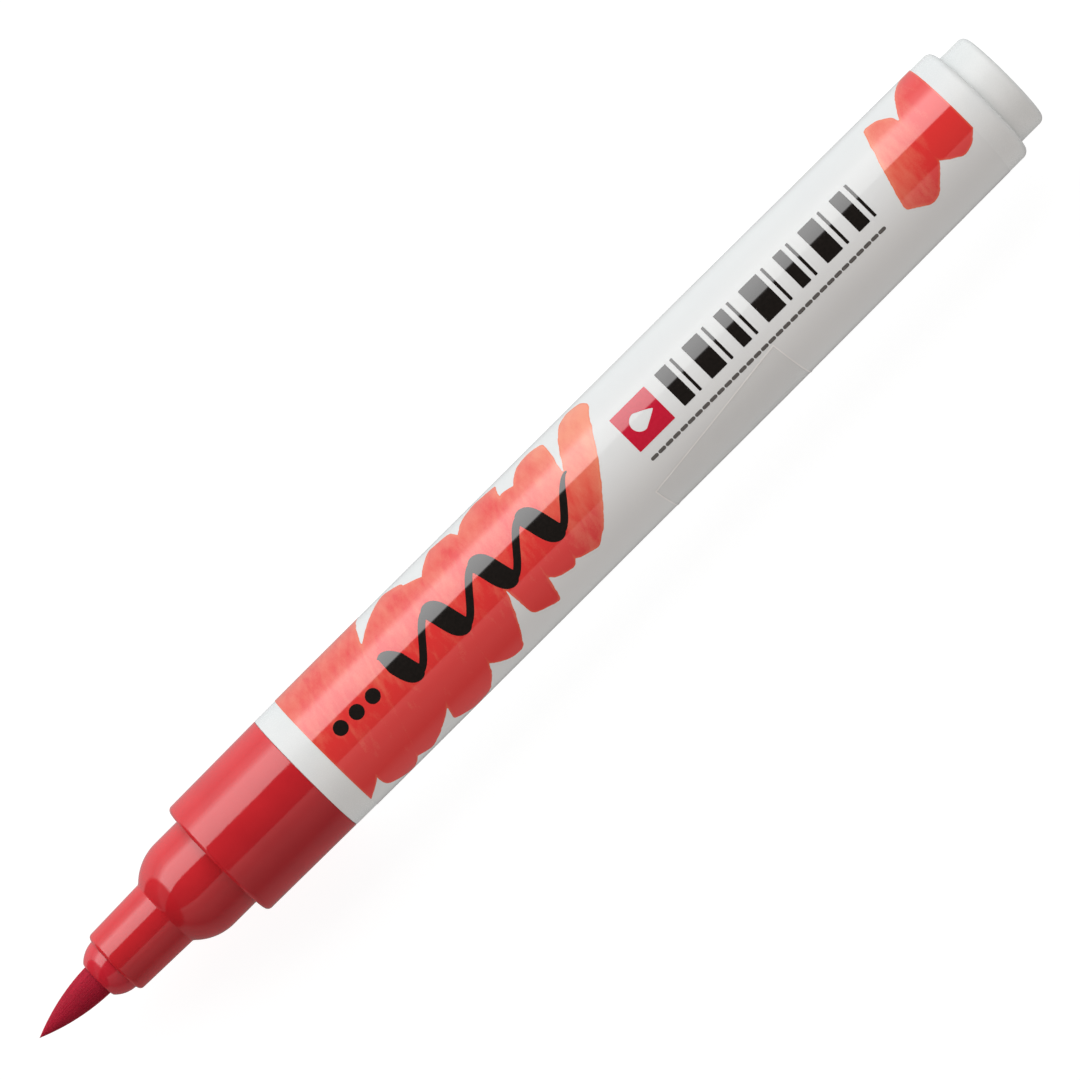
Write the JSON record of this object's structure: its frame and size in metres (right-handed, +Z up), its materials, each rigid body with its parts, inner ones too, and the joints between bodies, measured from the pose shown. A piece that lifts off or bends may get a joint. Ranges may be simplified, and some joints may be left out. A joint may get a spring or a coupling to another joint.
{
  "type": "brush pen",
  "caption": "Round marker with a soft pointed fibre brush, red grip section with a domed nose, long pale labelled barrel and a push-fit end plug.",
  "frame": {"origin": "bottom centre of the bounding box: under the middle of the pen, on the surface it lies on", "axes": "+X along the pen from the brush tip to the end plug, +Z up, +Y across the pen"},
  "size_m": [0.146, 0.0157, 0.0157],
  "materials": {
    "barrel_plastic": "smooth moulded cool white",
    "label_film": "glossy printed film, white with red water-colour strokes",
    "clear_film": "clear glossy film",
    "plug_plastic": "smooth moulded warm white",
    "red_plastic": "glossy moulded red",
    "ferrule_plastic": "glossy moulded red, inked",
    "brush_fibre": "fine nylon fibres wet with dark red ink",
    "wick_fibre": "porous fibre rod wet with ink",
    "reservoir_fibre": "bonded fibre rod wet with ink",
    "reservoir_film": "thin clear film"
  },
  "bodies": {
    "pen": {"barrel": "barrel_plastic", "wrap_label": "label_film", "clear_sticker": "clear_film", "front_section": "red_plastic", "nib_ferrule": "ferrule_plastic", "brush_root": "brush_fibre", "feed_wick": "wick_fibre", "reservoir_fibre": "reservoir_fibre", "reservoir_film": "reservoir_film"},
    "tip": {"brush_tip": "brush_fibre"},
    "plug": {"end_plug": "plug_plastic"}
  },
  "joints": [
    {"name": "brush_bend", "type": "hinge", "parent": "pen", "child": "tip", "pos_m": [-0.06428, 0, 0.00785], "axis": [0, 1, 0], "range_deg": [-30, 30], "stiffness_Nm_per_rad": 0.0004},
    {"name": "plug_pull", "type": "slide", "parent": "pen", "child": "plug", "axis": [1, 0, 0], "range_m": [0, 0.012]}
  ]
}
